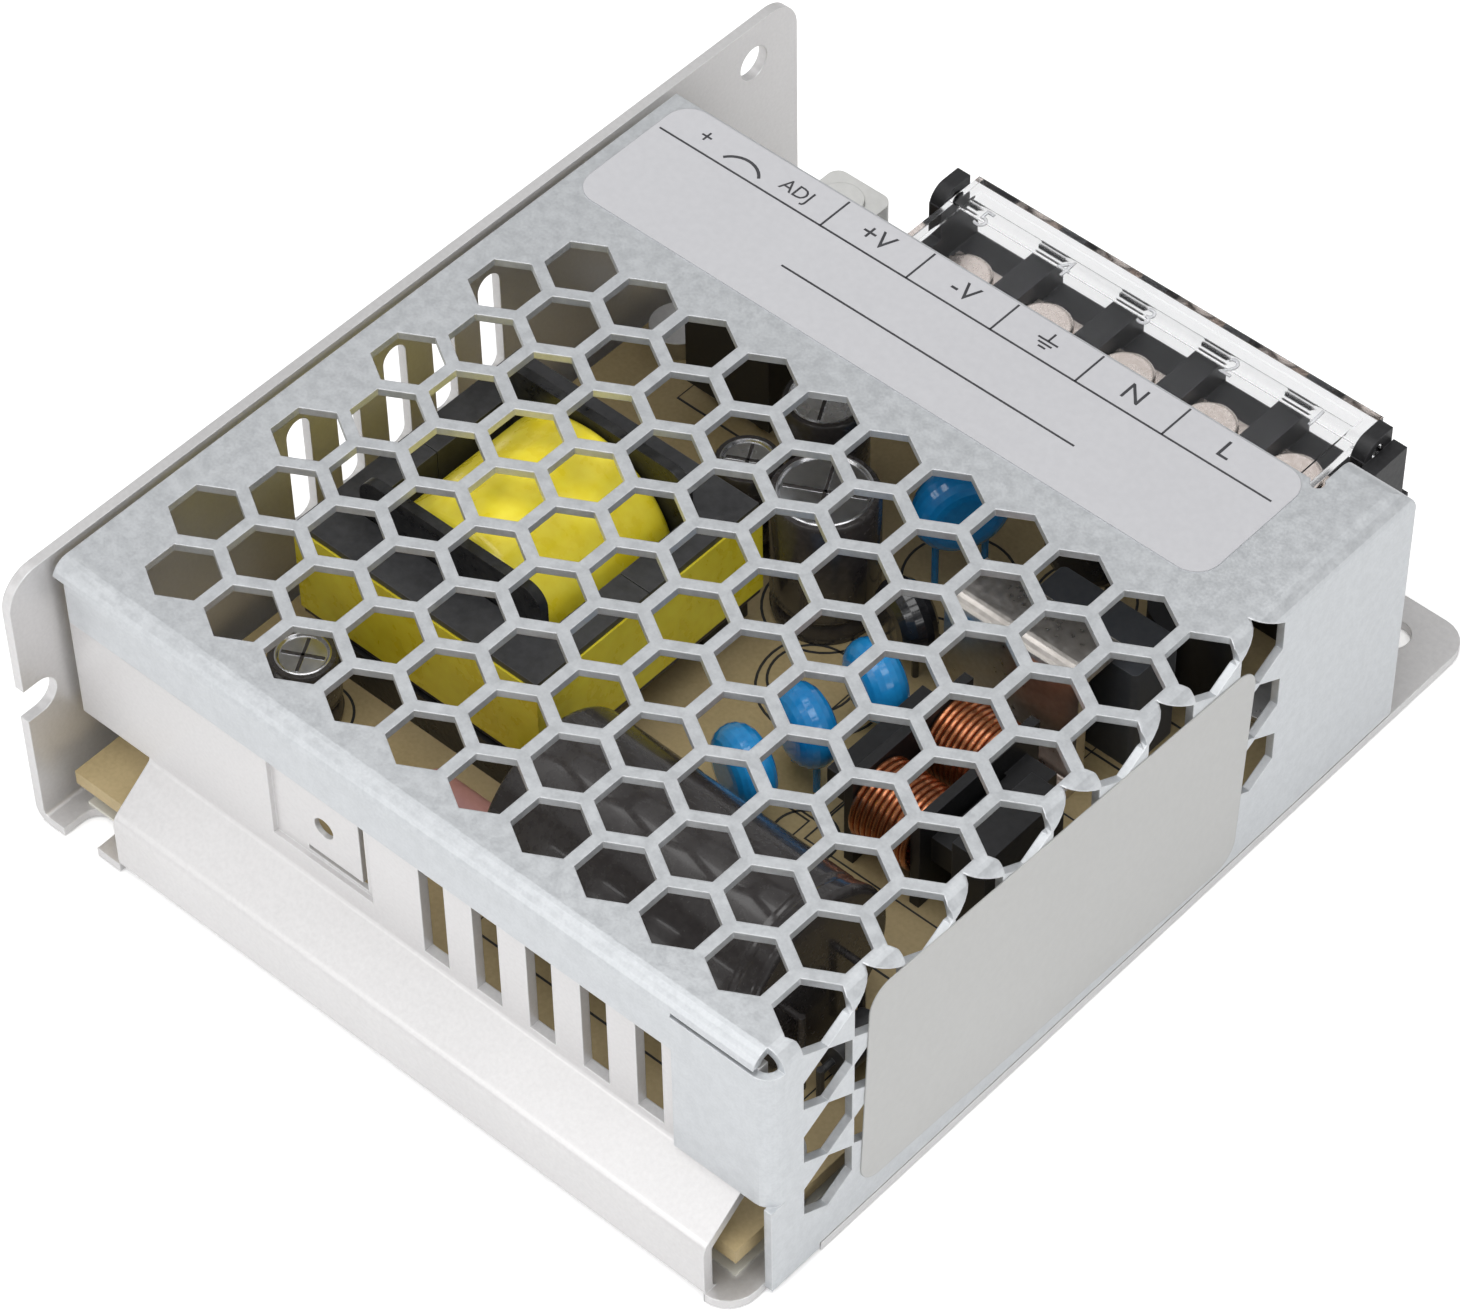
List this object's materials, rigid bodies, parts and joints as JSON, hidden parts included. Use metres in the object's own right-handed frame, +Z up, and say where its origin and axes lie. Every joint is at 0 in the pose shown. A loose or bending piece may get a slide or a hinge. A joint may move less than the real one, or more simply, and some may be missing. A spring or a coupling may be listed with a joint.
{
  "type": "enclosed switching power supply",
  "caption": "Flat power supply in a folded aluminium chassis with a hexagonal mesh cover, a screw terminal block under a hinged clear flap and visible board parts.",
  "frame": {"origin": "middle of the housing's underside", "axes": "+X towards the tall side plate, -Y towards the terminal end, +Z up"},
  "size_m": [0.0821, 0.099, 0.03],
  "materials": {
    "satin_aluminium": "satin, light brushed",
    "galvanised_sheet": "fine spangled zinc, satin",
    "label_film": "satin polyester film",
    "label_grey": "matt",
    "film": "thin polyester sheet",
    "board": "bare paper-phenolic laminate",
    "plated_steel": "zinc plated",
    "black_plastic": "moulded, fine grain",
    "plated_brass": "tin plated",
    "white_plastic": "moulded",
    "lamp": "translucent epoxy",
    "ferrite": "ground ferrite",
    "yellow_tape": "polyester tape",
    "dark_sleeve": "shrink sleeve",
    "blue_coat": "dipped epoxy",
    "copper": "enamelled copper wire",
    "box_plastic": "moulded",
    "black_coat": "dipped",
    "tinned_sheet": "tinned",
    "pink_coat": "lacquer",
    "screw_metal": "nickel plated",
    "clear_plastic": "clear polycarbonate"
  },
  "bodies": {
    "housing": {"base_chassis": "satin_aluminium", "mesh_cover": "galvanised_sheet", "top_label": "label_film", "side_label": "label_grey", "insulation_film": "film", "circuit_board": "board", "standoffs": "plated_steel", "board_screws": "plated_steel", "terminal_body": "black_plastic", "terminal_contacts": "plated_brass", "trimmer_body": "white_plastic", "indicator_lamp": "lamp", "transformer_core": "ferrite", "transformer_bobbin": "black_plastic", "transformer_winding": "yellow_tape", "transformer_tape": "yellow_tape", "bulk_capacitor": "dark_sleeve", "output_capacitor_1": "dark_sleeve", "output_capacitor_2": "dark_sleeve", "output_capacitor_3": "dark_sleeve", "disc_capacitor_1": "blue_coat", "disc_capacitor_2": "blue_coat", "disc_capacitor_3": "blue_coat", "disc_capacitor_4": "blue_coat", "choke_core": "ferrite", "choke_winding": "copper", "box_capacitor": "box_plastic", "small_capacitor": "dark_sleeve", "varistor": "black_plastic", "thermistor": "black_coat", "fuse": "black_plastic", "heat_clip": "tinned_sheet", "power_transistor": "black_plastic", "output_diode": "black_plastic", "bridge_rectifier": "black_plastic", "film_resistor": "pink_coat", "ferrite_bead": "ferrite"},
    "terminal_cover": {"terminal_cover": "clear_plastic"},
    "rotor": {"trimmer_rotor": "white_plastic"},
    "washer_1": {"clamp_washer_1": "screw_metal"},
    "screw_1": {"clamp_screw_1": "screw_metal"},
    "washer_2": {"clamp_washer_2": "screw_metal"},
    "screw_2": {"clamp_screw_2": "screw_metal"},
    "washer_3": {"clamp_washer_3": "screw_metal"},
    "screw_3": {"clamp_screw_3": "screw_metal"},
    "washer_4": {"clamp_washer_4": "screw_metal"},
    "screw_4": {"clamp_screw_4": "screw_metal"},
    "washer_5": {"clamp_washer_5": "screw_metal"},
    "screw_5": {"clamp_screw_5": "screw_metal"}
  },
  "joints": [
    {"name": "cover_hinge", "type": "hinge", "parent": "housing", "child": "terminal_cover", "pos_m": [-0.0065, -0.0452, 0.0217], "axis": [1, 0, 0], "range_deg": [0, 90]},
    {"name": "trimmer_turn", "type": "hinge", "parent": "housing", "child": "rotor", "pos_m": [0.0276, -0.0415, 0.017], "axis": [0, 0, 1], "range_deg": [-135, 135]},
    {"name": "screw_1_lift", "type": "slide", "parent": "housing", "child": "washer_1", "axis": [0, 0, 1], "range_m": [0, 0.002]},
    {"name": "screw_1_turn", "type": "hinge", "parent": "washer_1", "child": "screw_1", "pos_m": [0.01285, -0.0416, 0.0159], "axis": [0, 0, 1], "range_deg": [0, 1200]},
    {"name": "screw_2_lift", "type": "slide", "parent": "housing", "child": "washer_2", "axis": [0, 0, 1], "range_m": [0, 0.002]},
    {"name": "screw_2_turn", "type": "hinge", "parent": "washer_2", "child": "screw_2", "pos_m": [0.00335, -0.0416, 0.0159], "axis": [0, 0, 1], "range_deg": [0, 1200]},
    {"name": "screw_3_lift", "type": "slide", "parent": "housing", "child": "washer_3", "axis": [0, 0, 1], "range_m": [0, 0.002]},
    {"name": "screw_3_turn", "type": "hinge", "parent": "washer_3", "child": "screw_3", "pos_m": [-0.00615, -0.0416, 0.0159], "axis": [0, 0, 1], "range_deg": [0, 1200]},
    {"name": "screw_4_lift", "type": "slide", "parent": "housing", "child": "washer_4", "axis": [0, 0, 1], "range_m": [0, 0.002]},
    {"name": "screw_4_turn", "type": "hinge", "parent": "washer_4", "child": "screw_4", "pos_m": [-0.01565, -0.0416, 0.0159], "axis": [0, 0, 1], "range_deg": [0, 1200]},
    {"name": "screw_5_lift", "type": "slide", "parent": "housing", "child": "washer_5", "axis": [0, 0, 1], "range_m": [0, 0.002]},
    {"name": "screw_5_turn", "type": "hinge", "parent": "washer_5", "child": "screw_5", "pos_m": [-0.02515, -0.0416, 0.0159], "axis": [0, 0, 1], "range_deg": [0, 1200]}
  ],
  "couplings": [
    {"joint": "screw_1_turn", "follows": "screw_1_lift", "rad_per_m": 10472},
    {"joint": "screw_2_turn", "follows": "screw_2_lift", "rad_per_m": 10472},
    {"joint": "screw_3_turn", "follows": "screw_3_lift", "rad_per_m": 10472},
    {"joint": "screw_4_turn", "follows": "screw_4_lift", "rad_per_m": 10472},
    {"joint": "screw_5_turn", "follows": "screw_5_lift", "rad_per_m": 10472}
  ]
}
